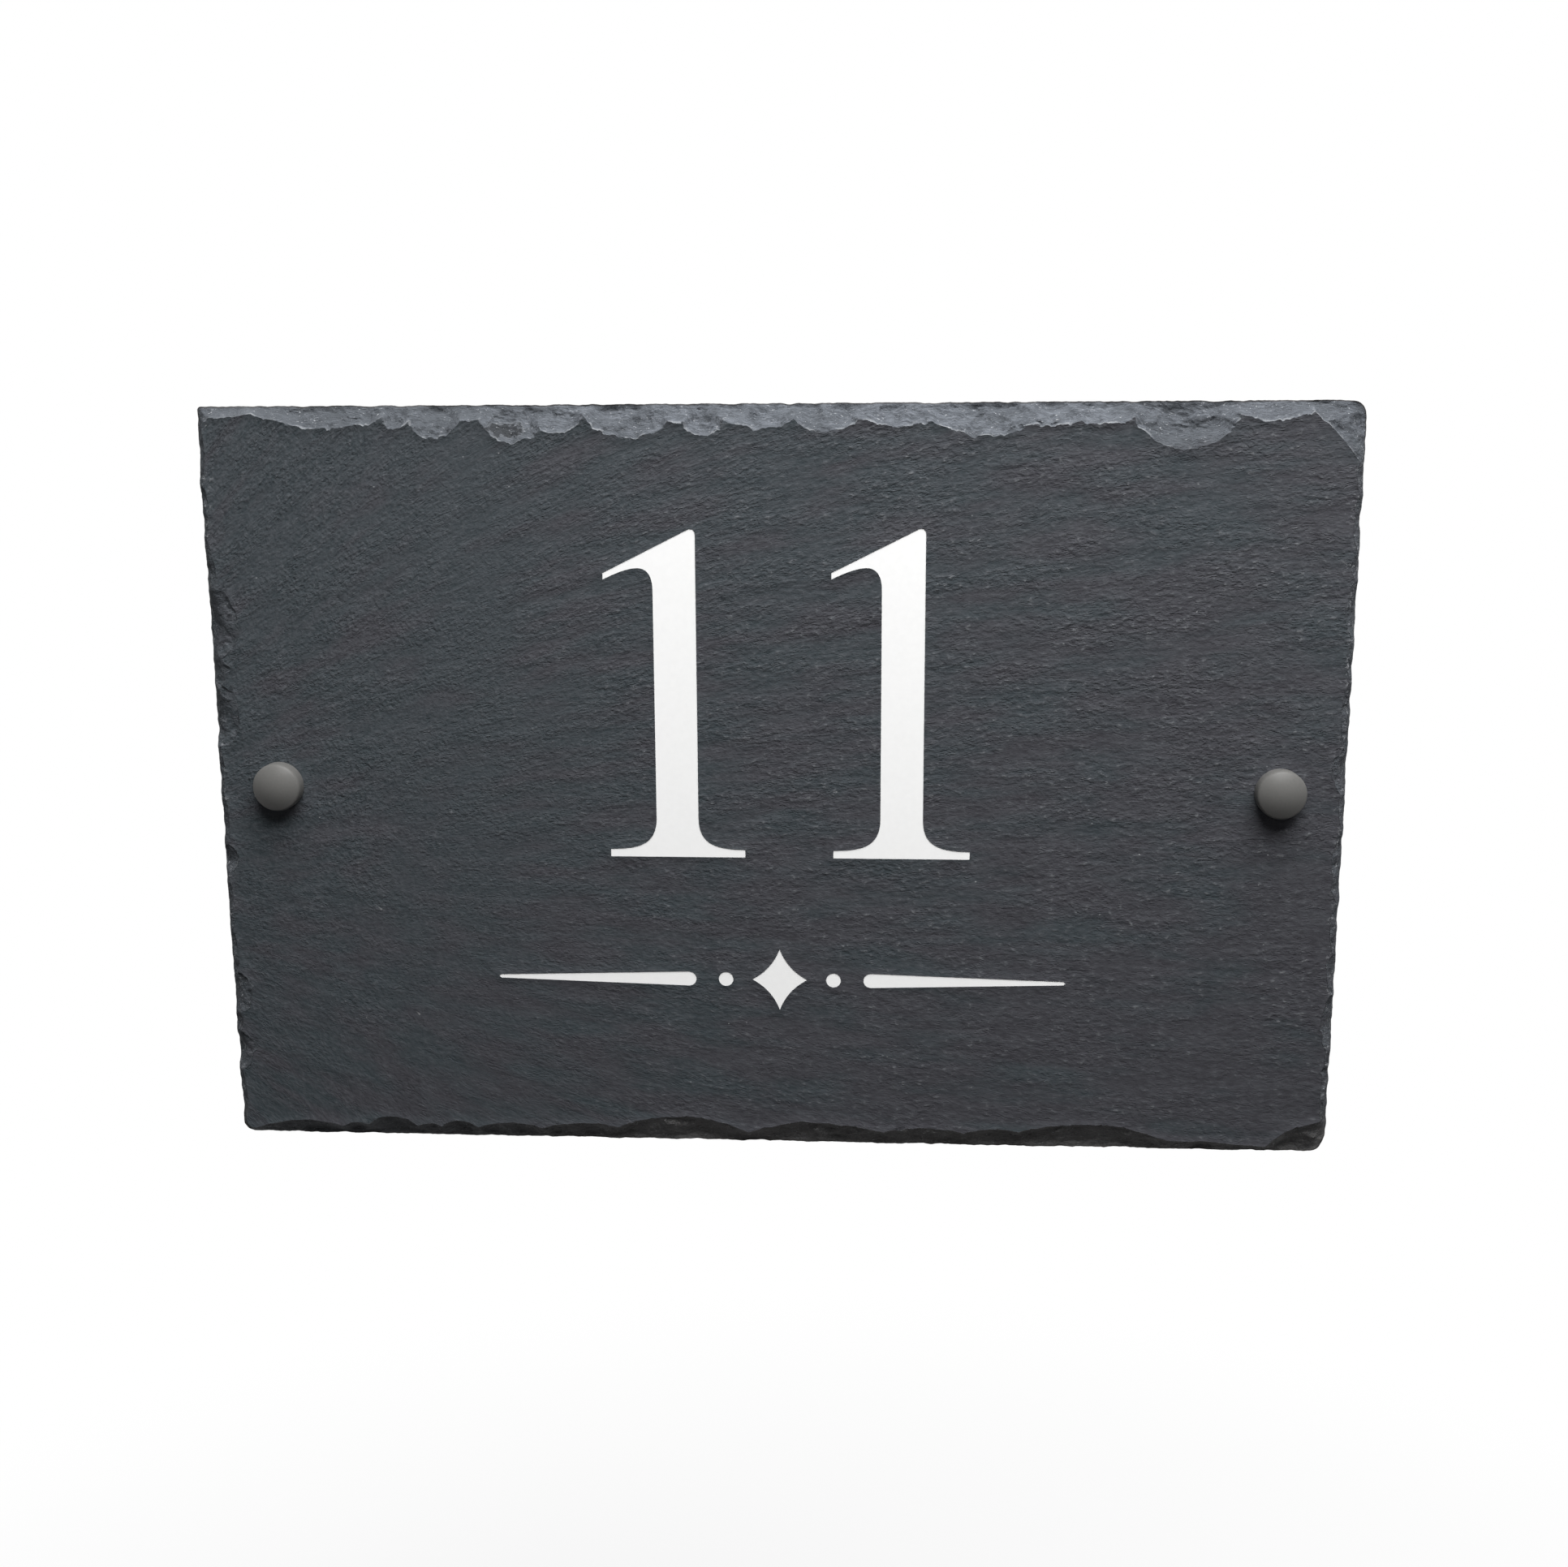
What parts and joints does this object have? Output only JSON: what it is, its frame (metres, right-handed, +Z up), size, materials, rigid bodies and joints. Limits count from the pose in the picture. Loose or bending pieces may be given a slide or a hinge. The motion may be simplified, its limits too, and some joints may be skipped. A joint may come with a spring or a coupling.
{
  "type": "house number plaque",
  "caption": "Landscape slate house number plaque with chipped edges, white-filled engraved numerals and rule ornament, fixed by screws under grey snap caps.",
  "frame": {"origin": "middle of the slab's back face, which bears on the wall", "axes": "+X to the right as the figures are read, +Z up, +Y from the front into the wall"},
  "size_m": [0.3, 0.0423, 0.2],
  "materials": {
    "slate": "riven",
    "paint": "satin enamel",
    "cap": "satin",
    "cap_base": "satin",
    "screw": "bright zinc"
  },
  "bodies": {
    "root": {"slate_plaque": "slate", "numeral_left": "paint", "numeral_right": "paint", "ornament_centre": "paint", "ornament_dot_left": "paint", "ornament_dot_right": "paint", "ornament_rule_left": "paint", "ornament_rule_right": "paint", "cap_left": "cap", "cap_right": "cap", "cap_base_left": "cap_base", "cap_base_right": "cap_base", "screw_left": "screw", "screw_right": "screw"}
  },
  "joints": []
}
